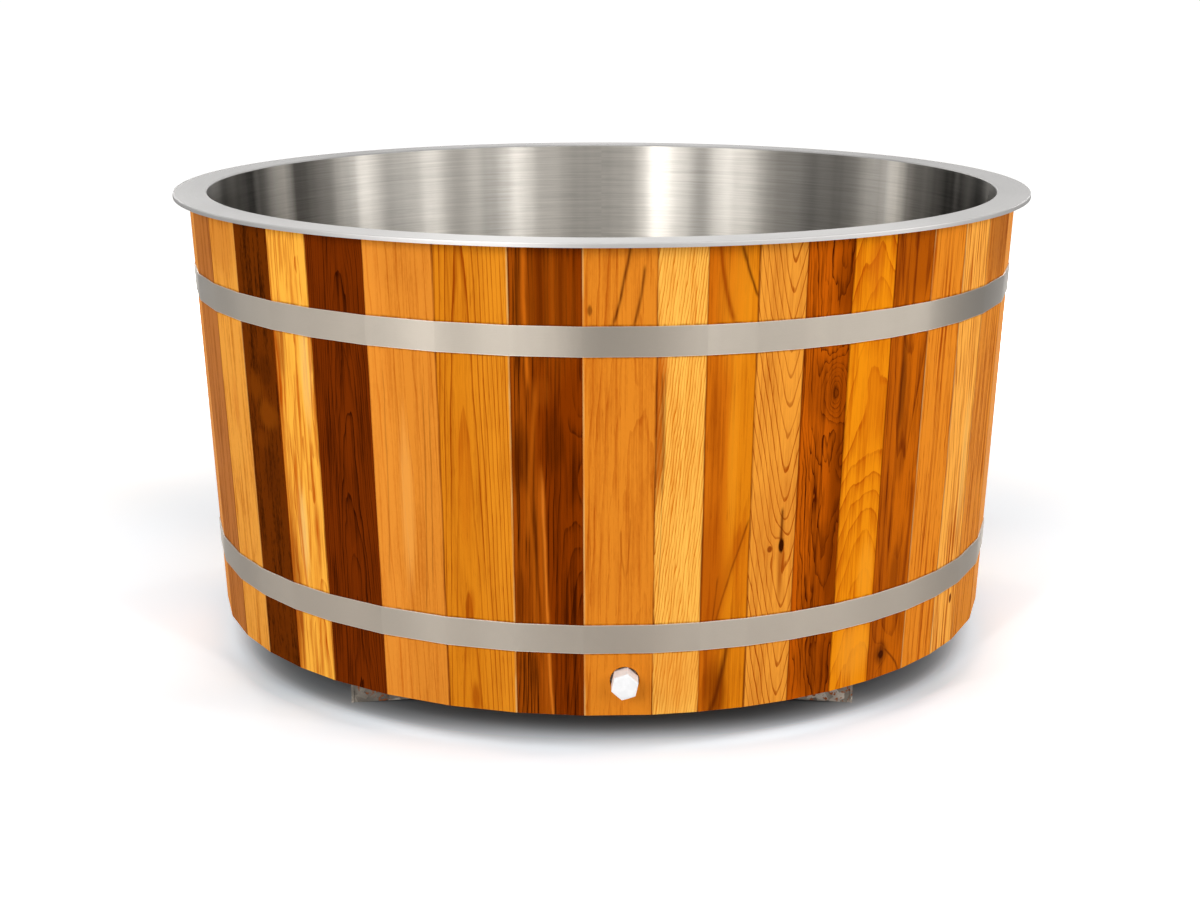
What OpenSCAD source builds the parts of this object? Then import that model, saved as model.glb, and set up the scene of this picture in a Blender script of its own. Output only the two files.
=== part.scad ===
// Cold plunge tub: a stainless tub in a coopered timber jacket, on a steel base.
// Millimetres, +Z up, origin on the ground under the centre, drain at the front (-Y).

/* [Tub] */
// Diameter over the rolled outer edge of the rim
rim_d = 1650; // [1640:1:1700]
// Inside diameter of the steel tub at its mouth
mouth_d = 1524; // [1500:1:1526]
// Height from the ground to the top of the rim
total_h = 873; // [800:1:950]
// Thickness of the stainless sheet
sheet_t = 2; // [1.5:0.5:2]
// Depth of the lip turned down along the outer edge of the rim
lip_h = 8; // [6:0.5:12]
// Radius over the bend from the rim into the lip
lip_bend_r = 2.5; // [2.5:0.5:4]
// Radius of the bend from the rim into the wall
mouth_bend_r = 3; // [3:0.5:10]
// Radius of the cove between the wall and the bottom
cove_r = 25; // [12:1:40]

/* [Staves] */
// Number of staves around the tub
stave_count = 40; // [39:1:46]
// Diameter over the stave corners at the top
wood_top_d = 1593; // [1592:0.5:1604]
// Diameter over the stave corners at the bottom
wood_bottom_d = 1520.8; // [1519:0.2:1540]
// Height of the stave ends above the ground
wood_clear = 62; // [45:1:80]
// Thickness of a stave
stave_t = 20; // [17:0.5:20.5]
// Width of the small flat that takes the sharpness off each outer edge
arris = 1; // [0.5:0.1:2]
// Widths of the front staves at half height, from left to right
front_widths = [122, 112, 105, 99, 121, 128, 124, 116, 118,
                81, 83, 85, 89, 91, 95, 100, 98, 132]; // [75:1:135]
// Shares of the remaining turn that the back staves take, repeated
back_shares = [1, 0.94, 1.05, 0.98, 1.03]; // [0.9:0.01:1.05]
// Direction of the first joint, in degrees round from the front to the right
first_joint = -70.6; // [-71.5:0.1:-69.5]

/* [Bands] */
// Width of a steel band
band_w = 50; // [38:1:60]
// Thickness of a steel band
band_t = 2; // [1.5:0.5:3]
// Height of the lower edge of the upper band
upper_band_z = 684.5; // [600:0.5:720]
// Height of the lower edge of the lower band
lower_band_z = 175; // [150:0.5:260]
// How far the turned-out ears of a band stand off it
ear_l = 24; // [20:1:25]
// Thickness of an ear
ear_t = 4; // [3:0.5:5]
// Gap between the two ears of a band
ear_gap = 14; // [8:1:20]
// Diameter of the tightening bolts
bolt_d = 8; // [6:1:8]

/* [Floor] */
// Height of the underside of the floor boards
floor_z = 165; // [160:1:180]
// Thickness of the floor boards
board_t = 30; // [26:1:34]
// Number of floor boards
board_count = 11; // [9:1:13]
// Depth that the floor is let into the staves
croze_depth = 7; // [4:1:9]
// Thickness of the foam between the boards and the steel bottom
pad_t = 10; // [6:1:14]
// Thickness of the foam between the steel wall and the staves
wrap_t = 7.5; // [5:0.5:8.5]

/* [Base] */
// Length of each bearer
bearer_l = 902; // [900:1:930]
// Distance from the centre to the outer face of each bearer
bearer_y = 547; // [500:1:560]
// Depth of each bearer from front to back
bearer_w = 60; // [50:1:70]
// Height of each bearer
bearer_h = 100; // [95:1:102]
// Thickness of the bearer plate
bearer_t = 4; // [3:0.5:6]
// Thickness of the plates that close the bearer ends
end_plate_t = 4.5; // [3:0.5:6]
// How far the end plates stand proud of the bearer's faces
end_plate_proud = 2; // [1:0.5:4]
// Rise of the bearer's lower edge from its ends to its middle
bearer_rise = 29; // [10:1:40]
// Width of the flat that each bearer end stands on
bearer_foot = 12; // [8:1:40]
// Width of a joist
joist_w = 45; // [40:1:60]
// Wall thickness of a joist
joist_t = 3; // [2:0.5:5]

/* [Drain] */
// Distance of the outlet to the right of the centre line
drain_x = 38; // [0:1:60]
// Distance of the drain in the bottom in front of the centre
drain_y = 430; // [300:1:450]
// Height of the outlet pipe's axis
drain_z = 125; // [124:1:127]
// Diameter of the hole in the front stave
drain_hole_d = 50; // [50:1:56]
// Outside diameter of the pipe and of the outlet's thread
pipe_d = 33.4; // [32:0.1:33.6]
// Bore of the pipe
pipe_bore = 26.6; // [24:0.1:27]
// Outside diameter of the sockets on the fittings
socket_d = 42; // [40:0.5:44]
// Width of the cap across its flats
cap_af = 41.2; // [40:0.1:42.5]
// Length of the cap
cap_l = 38; // [34:1:42]
// How far the cap stands out of the wood
cap_proud = 31.5; // [26:0.5:33]
// Thickness of the cap's end
cap_end_t = 4.5; // [3:0.5:6]

/* [Hidden] */
$fn = 96;
// Radial clearance of a pipe in its socket and of the screwed cap on its thread
fit = 0.05;
// Clearance between pieces that are slipped together
seat = 0.3;
// Hairline left between neighbouring staves, and between them and the bands
hairline = 0.1;
stave_nodes = [for (i = [1:stave_count]) str("stave_", i < 10 ? "0" : "", i)];

// Heights that stack up from the boards
boards_top = floor_z + board_t;
liner_floor_z = boards_top + pad_t;
bottom_z = liner_floor_z + sheet_t;
wood_top = total_h - sheet_t;
bend_z = total_h - mouth_bend_r;

// The jacket's cone, followed by the staves, the bands, the foam and the steel wall
wood_top_r = wood_top_d / 2;
wood_bottom_r = wood_bottom_d / 2;
wood_h = wood_top - wood_clear;
slope = (wood_top_r - wood_bottom_r) / wood_h;
lean = atan(slope);
stave_plan_t = stave_t / cos(lean);
sheet_plan_t = sheet_t / cos(lean);
function wood_r(z) = wood_bottom_r + slope * (z - wood_clear);
function liner_r(z) = mouth_d / 2 - slope * (bend_z - z);

// Centre of the cove's arc, which touches the wall above and the bottom below
cove_z = bottom_z + cove_r;
cove_x = liner_r(cove_z) - cove_r / cos(lean);

// Where the joints between the staves lie, in degrees round from the front
front_n = len(front_widths);
back_n = stave_count - front_n;
mid_r = wood_r((wood_clear + wood_top) / 2);
function total(list, n) = n <= 0 ? 0 : list[n - 1] + total(list, n - 1);
front_spans = [for (w = front_widths) 2 * asin(w / 2 / mid_r)];
back_weights = [for (i = [0:back_n - 1]) back_shares[i % len(back_shares)]];
back_turn = (360 - total(front_spans, front_n)) / total(back_weights, back_n);
back_spans = [for (w = back_weights) w * back_turn];
spans = concat(front_spans, back_spans);
joints = [for (i = [0:stave_count]) first_joint + total(spans, i)];
drain_stave = 9;
back_half_span = back_turn * max(back_shares) / 2;

// The cap's place along the outlet
wood_face_y = wood_r(drain_z) * cos(front_spans[drain_stave - 1] / 2);
cap_front = wood_face_y + cap_proud;
cap_back = cap_front - cap_l;
washer_t = 2.4;
thread_end = cap_front - cap_end_t - washer_t - 0.2;
collar_end = cap_back - 12;
collar_l = 30;
adapter_back = collar_end - collar_l;

// Colours of the timber, from the palest boards to the darkest
pale = "#EBB462";
gold = "#E3A03E";
orange = "#DB8C36";
amber = "#CF7F22";
tan_wood = "#B4743A";
brown = "#8B4614";
walnut = "#5F2E0C";
front_tones = [tan_wood, orange, walnut, pale, brown, orange, gold, walnut, orange,
               pale, amber, gold, brown, gold, amber, orange, pale, tan_wood];
back_tones = [orange, gold, brown, pale, orange, walnut, amber];
function stave_tone(i) =
    i <= front_n ? front_tones[i - 1] : back_tones[(i - front_n - 1) % len(back_tones)];

// Shared shapes

// A solid between two like outlines at two heights, both counter-clockwise
module loft(lower, upper, z0, z1) {
    n = len(lower);
    polyhedron(
        points = concat([for (p = lower) [p.x, p.y, z0]], [for (p = upper) [p.x, p.y, z1]]),
        faces = concat(
            [[for (k = [0:n - 1]) k]],
            [[for (k = [n - 1:-1:0]) n + k]],
            [for (k = [0:n - 1]) [k, n + k, n + (k + 1) % n, (k + 1) % n]]));
}

// The faceted outline that the stave corners make, grown outwards by some amount
function jacket_outline(z, grow) =
    [for (i = [0:stave_count - 1]) (wood_r(z) + grow) * [sin(joints[i]), -cos(joints[i])]];

module jacket_prism(z0, z1, grow = 0) {
    loft(jacket_outline(z0, grow), jacket_outline(z1, grow), z0, z1);
}

// A cone ring between two heights, from its inner radius at each and a plan thickness
module cone_ring(z0, r0, z1, r1, t) {
    rotate_extrude()
        polygon([[r0, z0], [r0 + t, z0], [r1 + t, z1], [r1, z1]]);
}

// A cylinder along the outlet, between two distances in front of the centre
module outlet_rod(y0, y1, d, sides = 0) {
    translate([drain_x, -y0, drain_z])
        rotate([90, 0, 0])
            cylinder(h = y1 - y0, d = d, $fn = sides > 0 ? sides : $fn);
}

// A cylinder down through the drain in the bottom
module drain_rod(z0, z1, d, sides = 0) {
    translate([drain_x, -drain_y, z0])
        cylinder(h = z1 - z0, d = d, $fn = sides > 0 ? sides : $fn);
}

// Steel tub

// The flat rim, bent down into the wall, with a lip turned down along its outer edge
module rim_flange() {
    bend = [for (a = [180:-15:90]) [mouth_d / 2 + mouth_bend_r + mouth_bend_r * cos(a),
                                    bend_z + mouth_bend_r * sin(a)]];
    under = mouth_bend_r - sheet_t;
    under_bend = [for (a = [90:30:180]) [mouth_d / 2 + mouth_bend_r + under * cos(a),
                                         bend_z + under * sin(a)]];
    lip_arc = function(r, steps) [for (a = steps) [rim_d / 2 - lip_bend_r + r * cos(a),
                                                   total_h - lip_bend_r + r * sin(a)]];
    lip = concat(lip_arc(lip_bend_r, [90:-15:0]),
                 [[rim_d / 2, total_h - lip_h], [rim_d / 2 - sheet_t, total_h - lip_h]],
                 lip_arc(lip_bend_r - sheet_t, [0:30:90]));
    color("#D3D1CE")
        rotate_extrude()
            polygon(concat(bend, lip, under_bend));
}

// Points down the cove from the wall to the bottom, at some distance from its centre
function cove_arc(r) =
    [for (k = [0:6]) let (a = -lean - k * (90 - lean) / 6) [cove_x + r * cos(a), cove_z + r * sin(a)]];
function reversed(list) = [for (k = [len(list) - 1:-1:0]) list[k]];

// The rolled wall, with the cove that meets the bottom
module liner_wall() {
    inner = cove_arc(cove_r);
    outer = cove_arc(cove_r + sheet_t);
    color("#B9B7B3")
        rotate_extrude()
            polygon(concat([[liner_r(bend_z), bend_z]], inner, reversed(outer),
                           [[liner_r(bend_z) + sheet_plan_t, bend_z]]));
}

// The flat bottom sheet inside the cove
module liner_floor() {
    color("#B0AEAA")
        difference() {
            translate([0, 0, liner_floor_z])
                cylinder(h = sheet_t, r = cove_x);
            drain_rod(liner_floor_z - 1, bottom_z + 1, bottom_hole_d);
        }
}

// Closed-cell foam round the wall and under the bottom
module insulation() {
    wrap_top = wood_top - 10;
    color("#3A3D40") {
        cone_ring(cove_z, liner_r(cove_z) + sheet_plan_t + seat,
                  wrap_top, liner_r(wrap_top) + sheet_plan_t + seat, wrap_t);
        difference() {
            translate([0, 0, boards_top])
                cylinder(h = pad_t, r = cove_x);
            drain_rod(boards_top - 1, liner_floor_z + 1, board_hole_d);
        }
    }
}

// Timber jacket

// One flat-faced stave, bevelled to its neighbours, with the groove for the floor
module stave(i) {
    half = spans[i - 1] / 2;
    side_x = function(r) r * sin(half) - hairline / 2;
    face_y = function(z) wood_r(z) * cos(half);
    section = function(z) let (
        arris_r = wood_r(z) - arris,
        back_r = wood_r(z) - stave_plan_t / cos(half))
        [[side_x(wood_r(z)) - arris, -face_y(z)],
         [side_x(arris_r), -arris_r * cos(half)],
         [side_x(back_r), -face_y(z) + stave_plan_t],
         [-side_x(back_r), -face_y(z) + stave_plan_t],
         [-side_x(arris_r), -arris_r * cos(half)],
         [-side_x(wood_r(z)) + arris, -face_y(z)]];
    color(stave_tone(i))
        difference() {
            rotate([0, 0, (joints[i - 1] + joints[i]) / 2])
                loft(section(wood_clear), section(wood_top), wood_clear, wood_top);
            translate([0, 0, floor_z - seat])
                cylinder(h = board_t + 2 * seat, r = croze_r);
            if (i == drain_stave)
                outlet_rod(wood_face_y - 2 * stave_t, wood_face_y + stave_t, drain_hole_d);
        }
}

// The groove's radius, measured from the inner faces of the widest staves
croze_r = wood_r(floor_z) * cos(back_half_span) - stave_plan_t + croze_depth;

// Boards cut to a disc that drops into the groove of the staves
module floor_boards() {
    disc_r = croze_r - 2 * seat;
    pitch = 2 * disc_r / board_count;
    color("#C98A45")
        for (k = [0:board_count - 1])
            difference() {
                intersection() {
                    translate([0, 0, floor_z])
                        cylinder(h = board_t, r = disc_r);
                    translate([-disc_r - 1, -disc_r + k * pitch + seat, floor_z - 1])
                        cube([2 * disc_r + 2, pitch - 2 * seat, board_t + 2]);
                }
                drain_rod(floor_z - 1, boards_top + 1, board_hole_d);
            }
}

// Bands

// One band round the staves, with two drilled ears turned out at the back
module band(z0) {
    back_y = wood_r(z0 + band_w / 2);
    ears_w = ear_gap + 2 * ear_t;
    color("#A8A299")
        difference() {
            union() {
                jacket_prism(z0, z0 + band_w, band_t);
                translate([-ears_w / 2, back_y - stave_t, z0])
                    cube([ears_w, stave_t + band_t + ear_l, band_w]);
            }
            jacket_prism(z0 - 1, z0 + band_w + 1, hairline / 2);
            translate([-ear_gap / 2, back_y - 2 * stave_t, z0 - 1])
                cube([ear_gap, 2 * stave_t + band_t + ear_l + 1, band_w + 2]);
            for (z = bolt_heights(z0))
                translate([-ears_w, bolt_y(z0), z])
                    rotate([0, 90, 0])
                        cylinder(h = 2 * ears_w, d = bolt_d + 1);
        }
}

function bolt_heights(z0) = [z0 + band_w / 2 - 13, z0 + band_w / 2 + 13];
function bolt_y(z0) = wood_r(z0 + band_w / 2) + band_t + ear_l - 11;

module upper_band() band(upper_band_z);

module lower_band() band(lower_band_z);

// Hexagon bolts through the ears and their nuts
module band_fasteners() {
    ears_w = ear_gap + 2 * ear_t;
    head_h = 5.3;
    nut_h = 6.5;
    hex_d = 13 / cos(30);
    tip = 3;
    color("#BFBDB9")
        for (z0 = [upper_band_z, lower_band_z], z = bolt_heights(z0))
            translate([0, bolt_y(z0), z])
                rotate([0, 90, 0]) {
                    translate([0, 0, -ears_w / 2 - head_h])
                        cylinder(h = head_h, d = hex_d, $fn = 6);
                    translate([0, 0, -ears_w / 2 - 1])
                        cylinder(h = 1 + ears_w + nut_h + tip, d = bolt_d);
                    translate([0, 0, ears_w / 2])
                        difference() {
                            cylinder(h = nut_h, d = hex_d, $fn = 6);
                            translate([0, 0, -1])
                                cylinder(h = nut_h + 2, d = bolt_d + 2 * fit);
                        }
                }
}

// Steel base

// A folded channel, open below, closed by end plates and standing on its two ends
module bearer(side) {
    half_l = bearer_l / 2;
    foot_x = half_l - bearer_foot;
    outline = [[-half_l, 0], [-foot_x, 0], [0, bearer_rise], [foot_x, 0], [half_l, 0],
               [half_l, bearer_h], [-half_l, bearer_h]];
    inner_l = bearer_l - 2 * end_plate_t;
    channel_w = bearer_w - 2 * end_plate_proud;
    translate([0, side * (bearer_y - bearer_w / 2), 0])
        difference() {
            translate([0, bearer_w / 2, 0])
                rotate([90, 0, 0])
                    linear_extrude(bearer_w)
                        polygon(outline);
            translate([-inner_l / 2, -channel_w / 2 + bearer_t, -1])
                cube([inner_l, channel_w - 2 * bearer_t, bearer_h - bearer_t + 1]);
            for (face = [-1, 1])
                translate([-inner_l / 2, face * bearer_w / 2 - end_plate_proud, -1])
                    cube([inner_l, 2 * end_plate_proud, bearer_h + 2]);
        }
}

module front_bearer() color("#8E8C86") bearer(-1);

module rear_bearer() color("#8E8C86") bearer(1);

// Four tubes across the bearers that carry the floor boards
module joists() {
    joist_h = floor_z - bearer_h;
    room_r = wood_r(bearer_h) * cos(back_half_span) - stave_plan_t - 10;
    color("#97958F")
        for (x = [-430, -160, 160, 430]) {
            reach = sqrt(pow(room_r, 2) - pow(abs(x) + joist_w / 2, 2));
            translate([x, 0, bearer_h])
                difference() {
                    translate([-joist_w / 2, -reach, 0])
                        cube([joist_w, 2 * reach, joist_h]);
                    translate([-joist_w / 2 + joist_t, -reach - 1, joist_t])
                        cube([joist_w - 2 * joist_t, 2 * reach + 2, joist_h - 2 * joist_t]);
                }
        }
}

// Drain

gasket_t = 2;
flange_d = 90;
flange_z = bottom_z + gasket_t;
flange_h = 4;
flange_top = flange_z + flange_h;
strainer_d = 76;
strainer_t = 2;
strainer_z = flange_top - 1.5;
tail_d = 47;
tail_bore = 40;
tail_z = floor_z - 12;
bottom_hole_d = tail_d + 1;
board_hole_d = tail_d + 5;
socket_depth = 28;

// The perforated disc that drops into the drain's flange
module drain_strainer() {
    hole_d = 4;
    ring_step = 10;
    color("#C9C7C3")
        difference() {
            drain_rod(strainer_z, strainer_z + strainer_t, strainer_d);
            for (ring = [0:3], k = [1:max(1, 6 * ring)])
                translate([ring * ring_step * cos(60 * k / max(1, ring)),
                           ring * ring_step * sin(60 * k / max(1, ring)), 0])
                    drain_rod(strainer_z - 1, strainer_z + strainer_t + 1, hole_d);
        }
}

// The flange and threaded tail that pass through the bottom and the boards
module drain_flange() {
    recess_r = strainer_d / 2 + seat;
    spigot_z = drain_z + 18;
    half_flange = [[tail_bore / 2, tail_z], [tail_bore / 2, strainer_z - 1],
                   [recess_r, strainer_z], [recess_r, flange_top],
                   [flange_d / 2 - 3, flange_top], [flange_d / 2, flange_z + 1],
                   [flange_d / 2, flange_z], [tail_d / 2, flange_z]];
    half_tail = [[tail_d / 2, tail_z], [pipe_d / 2, tail_z], [pipe_d / 2, spigot_z],
                 [pipe_bore / 2, spigot_z], [pipe_bore / 2, tail_z]];
    color("#BDBBB7")
        translate([drain_x, -drain_y, 0])
            rotate_extrude()
                polygon(concat(half_flange, half_tail));
}

// The rubber ring under the flange
module drain_gasket() {
    color("#2B2B2B")
        difference() {
            drain_rod(bottom_z, flange_z, flange_d - 4);
            drain_rod(bottom_z - 1, flange_z + 1, tail_d + seat);
        }
}

// The eight-sided nut that draws the flange down from below the boards
module drain_locknut() {
    nut_h = 9;
    nut_d = 68;
    color("#E4E4E1")
        difference() {
            drain_rod(floor_z - nut_h, floor_z, nut_d, 8);
            drain_rod(floor_z - nut_h - 1, floor_z + 1, tail_d + 2 * fit);
        }
}

// The bend from the tail to the outlet pipe, with a socket at each end
module drain_elbow() {
    elbow_top = tail_z - seat;
    elbow_end = drain_y + 45;
    socket_stop = 17;
    color("#EDEDEA")
        difference() {
            union() {
                drain_rod(drain_z, elbow_top, socket_d);
                outlet_rod(drain_y, elbow_end, socket_d);
                translate([drain_x, -drain_y, drain_z])
                    sphere(d = socket_d);
            }
            drain_rod(drain_z + socket_stop, elbow_top + 1, pipe_d + 2 * fit);
            drain_rod(drain_z, drain_z + socket_stop + 1, pipe_bore);
            outlet_rod(drain_y + socket_stop, elbow_end + 1, pipe_d + 2 * fit);
            outlet_rod(drain_y, drain_y + socket_stop + 1, pipe_bore);
            translate([drain_x, -drain_y, drain_z])
                sphere(d = pipe_bore);
        }
}

// The straight pipe under the floor, over the front bearer
module drain_pipe() {
    pipe_back = drain_y + 18;
    pipe_front = adapter_back + socket_depth - 1;
    color("#F0F0EE")
        difference() {
            outlet_rod(pipe_back, pipe_front, pipe_d);
            outlet_rod(pipe_back - 1, pipe_front + 1, pipe_bore);
        }
}

// The fitting on the pipe's end, with the outlet's male thread
module drain_adapter() {
    color("#F0F0EE")
        difference() {
            union() {
                outlet_rod(adapter_back, collar_end, socket_d);
                outlet_rod(collar_end - 1, thread_end, pipe_d);
            }
            outlet_rod(adapter_back - 1, adapter_back + socket_depth, pipe_d + 2 * fit);
            outlet_rod(adapter_back, thread_end + 1, pipe_bore - 2);
        }
}

// The flat rubber washer inside the cap
module drain_cap_washer() {
    cap_bottom = cap_front - cap_end_t;
    washer_hole_d = 18;
    color("#262626")
        difference() {
            outlet_rod(cap_bottom - washer_t, cap_bottom, pipe_d - 2 * seat);
            outlet_rod(cap_bottom - washer_t - 1, cap_bottom + 1, washer_hole_d);
        }
}

// Half the profile that turns the corners off the cap's two ends, from the back to the front
function cap_profile(r) =
    [[0, 0], [r - 1, 0], [r, 1], [r, cap_l - 3], [r - 0.8, cap_l - 2], [r - 6, cap_l - 0.4], [0, cap_l]];

// The six-sided screwed cap, with the small mark that its moulding left in the middle
module drain_cap() {
    cap_ac = cap_af / cos(30);
    cap_turn = 18;
    nub_d = 5;
    nub_h = 0.5;
    color("#FAFAFA")
        difference() {
            union() {
                intersection() {
                    translate([drain_x, -cap_back, drain_z])
                        rotate([0, -cap_turn, 0])
                            rotate([90, 0, 0])
                                cylinder(h = cap_l, d = cap_ac, $fn = 6);
                    translate([drain_x, -cap_back, drain_z])
                        rotate([90, 0, 0])
                            rotate_extrude()
                                polygon(cap_profile(cap_ac / 2 + 0.2));
                }
                outlet_rod(cap_front - 1, cap_front + nub_h, nub_d);
            }
            outlet_rod(cap_back - 1, cap_front - cap_end_t, pipe_d + 2 * fit);
        }
}

rim_flange();
liner_wall();
liner_floor();
insulation();
floor_boards();
upper_band();
lower_band();
band_fasteners();
front_bearer();
rear_bearer();
joists();
drain_strainer();
drain_flange();
drain_gasket();
drain_locknut();
drain_elbow();
drain_pipe();
drain_adapter();
drain_cap_washer();
drain_cap();
for (i = [1:stave_count])
    stave(i);
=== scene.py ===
import math

import bmesh
import bpy
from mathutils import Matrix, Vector

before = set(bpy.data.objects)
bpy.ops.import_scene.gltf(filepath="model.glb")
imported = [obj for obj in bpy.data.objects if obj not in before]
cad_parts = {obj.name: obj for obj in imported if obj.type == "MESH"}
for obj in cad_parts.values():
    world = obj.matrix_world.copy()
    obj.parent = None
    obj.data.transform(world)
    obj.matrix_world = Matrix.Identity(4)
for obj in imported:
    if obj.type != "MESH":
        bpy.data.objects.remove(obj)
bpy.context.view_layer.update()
scene = bpy.context.scene

# Sizes that the scene shares with the CAD source, in metres
WOOD_TOP_Z, WOOD_BOTTOM_Z = 0.871, 0.062
WOOD_TOP_R, WOOD_BOTTOM_R = 0.7965, 0.7604
UPPER_BAND_Z, LOWER_BAND_Z, BAND_W = 0.6845, 0.175, 0.050
BOARDS_LOW_Z = 0.165

# The front staves' widths in millimetres, left to right, and the back ones' shares of a width
FRONT_WIDTHS = [122, 112, 105, 99, 121, 128, 124, 116, 118, 81, 83, 85, 89, 91, 95, 100, 98, 132]
BACK_SHARES = [1, 0.94, 1.05, 0.98, 1.03]
STAVE_COUNT = 40
# The bearing of the first joint, in degrees round from the front to the right
FIRST_JOINT = -70.6

# The default scene's own objects go
for name in ("Cube", "Light", "Camera"):
    thing = bpy.data.objects.get(name)
    if thing is not None:
        bpy.data.objects.remove(thing, do_unlink=True)


# Helpers for node materials

def srgb(r, g, b):
    """A colour given in screen values from 0 to 255, as linear light."""
    out = []
    for v in (r, g, b):
        v = max(v, 0) / 255
        out.append(v / 12.92 if v <= 0.04045 else ((v + 0.055) / 1.055) ** 2.4)
    return (*out, 1.0)


class Nodes:
    """A small wrapper that adds nodes and joins them."""

    def __init__(self, tree):
        self.tree = tree

    def add(self, kind, **props):
        node = self.tree.nodes.new(kind)
        for key, value in props.items():
            setattr(node, key, value)
        return node

    def put(self, socket, value):
        if isinstance(value, bpy.types.NodeSocket):
            self.tree.links.new(value, socket)
        elif value is not None:
            socket.default_value = value

    def math(self, op, a, b=None, c=None, clamp=False):
        node = self.add("ShaderNodeMath", operation=op, use_clamp=clamp)
        for socket, value in zip(node.inputs, (a, b, c)):
            self.put(socket, value)
        return node.outputs[0]

    def hypot(self, a, b):
        squares = self.math("ADD", self.math("MULTIPLY", a, a), self.math("MULTIPLY", b, b))
        return self.math("SQRT", squares)

    def bell(self, x):
        """A bell curve, 1 where x is 0."""
        return self.math("EXPONENT", self.math("MULTIPLY", self.math("MULTIPLY", x, x), -1.0))

    def sway(self, base, noise, amount):
        """The base, moved up and down by a noise that runs from 0 to 1."""
        return self.math("MULTIPLY_ADD", self.math("SUBTRACT", noise, 0.5), amount, base)

    def vmath(self, op, a, b=None):
        node = self.add("ShaderNodeVectorMath", operation=op)
        self.put(node.inputs[0], a)
        if b is not None:
            self.put(node.inputs[1], b)
        return node.outputs["Value" if op == "DOT_PRODUCT" else "Vector"]

    def combine(self, x, y, z):
        node = self.add("ShaderNodeCombineXYZ")
        for socket, value in zip(node.inputs, (x, y, z)):
            self.put(socket, value)
        return node.outputs[0]

    def separate(self, v):
        node = self.add("ShaderNodeSeparateXYZ")
        self.put(node.inputs[0], v)
        return node.outputs

    def noise(self, vector, scale=1.0, detail=2.0, rough=0.5, dims="3D"):
        node = self.add("ShaderNodeTexNoise", noise_dimensions=dims)
        if dims == "1D":
            self.put(node.inputs["W"], vector)
        else:
            self.put(node.inputs["Vector"], vector)
        self.put(node.inputs["Scale"], scale)
        self.put(node.inputs["Detail"], detail)
        self.put(node.inputs["Roughness"], rough)
        return node.outputs["Fac"]

    def ramp(self, value, stops, mode="LINEAR"):
        node = self.add("ShaderNodeValToRGB")
        node.color_ramp.interpolation = mode
        elements = node.color_ramp.elements
        while len(elements) < len(stops):
            elements.new(0.5)
        for element, (at, colour) in zip(elements, stops):
            element.position = at
            element.color = colour if len(colour) == 4 else (*colour, 1)
        self.put(node.inputs[0], value)
        return node.outputs["Color"]

    def range(self, value, a, b, c=0.0, d=1.0):
        """Carries a to b over to c to d, eased at both ends."""
        node = self.add("ShaderNodeMapRange", interpolation_type="SMOOTHSTEP")
        for socket, v in zip(node.inputs, (value, a, b, c, d)):
            self.put(socket, v)
        return node.outputs[0]

    def mix(self, fac, a, b, mode="MIX"):
        node = self.add("ShaderNodeMix", data_type="RGBA", blend_type=mode)
        self.put(node.inputs[0], fac)
        self.put(node.inputs[6], a)
        self.put(node.inputs[7], b)
        return node.outputs[2]

    def bump(self, height, strength, distance, normal=None):
        node = self.add("ShaderNodeBump")
        self.put(node.inputs["Height"], height)
        node.inputs["Strength"].default_value = strength
        node.inputs["Distance"].default_value = distance
        self.put(node.inputs["Normal"], normal)
        return node.outputs[0]


def new_material(name, kind="ShaderNodeBsdfPrincipled"):
    """An empty node material with its shader, and a helper for its tree."""
    m = bpy.data.materials.new(name)
    m.use_nodes = True
    n = Nodes(m.node_tree)
    n.tree.nodes.clear()
    shader = n.add(kind)
    out = n.add("ShaderNodeOutputMaterial")
    n.tree.links.new(shader.outputs[0], out.inputs["Surface"])
    return m, n, shader


def dress(material, *names):
    """Gives CAD nodes their material."""
    for name in names:
        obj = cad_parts[name]
        obj.data.materials.clear()
        obj.data.materials.append(material)


# The camera, at the photograph's viewing angle: its place in metres and its dip in degrees
SENSOR, LENS = 36.0, 57.85
CAMERA_AT = (-0.0034, -3.8, 1.3076)
CAMERA_DIP = 14.437

cam = bpy.data.cameras.new("camera")
cam.sensor_width = SENSOR
cam.lens = LENS
camera = bpy.data.objects.new("camera", cam)
scene.collection.objects.link(camera)
camera.location = CAMERA_AT
camera.rotation_euler = (math.radians(90 - CAMERA_DIP), 0, 0)
scene.camera = camera


# The floor, the lamps and the pale room

FLOOR_HALF = 120.0
# How bright the camera sees the floor: before the tub, beside it, where it is painted
# lighter, and far away
FLOOR_SEEN, FLOOR_SEEN_ASIDE, FLOOR_SEEN_FAR = 1.24, 1.44, 3.3
# Shares of red, green and blue near the tub, which even out the timber's warm bounce
FLOOR_COOL = (0.935, 0.995, 1.045)
FLOOR_GLOSS = 0.95
# The painted contact shadow in the floor's colour: where it is full and where it ends, the
# light it leaves, and its lean
SHADOW_FULL, SHADOW_END, SHADOW_LIGHT = 0.62, 0.757, 0.28
SHADOW_LEAN, SHADOW_LEAN_ASIDE = -0.116, -0.26
# The painted shadow's edge at the slants, with painted light just outside it: radii with the
# light there. The eased range between EDGE_START and EDGE_END draws them up to 26 mm toward its
# middle
EDGE_START, EDGE_END = 0.62, 0.90
EDGE_SHADE = [(0.67, 0.85), (0.70, 0.95), (0.73, 1.35), (0.79, 0.95), (0.88, 1.00)]


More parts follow.
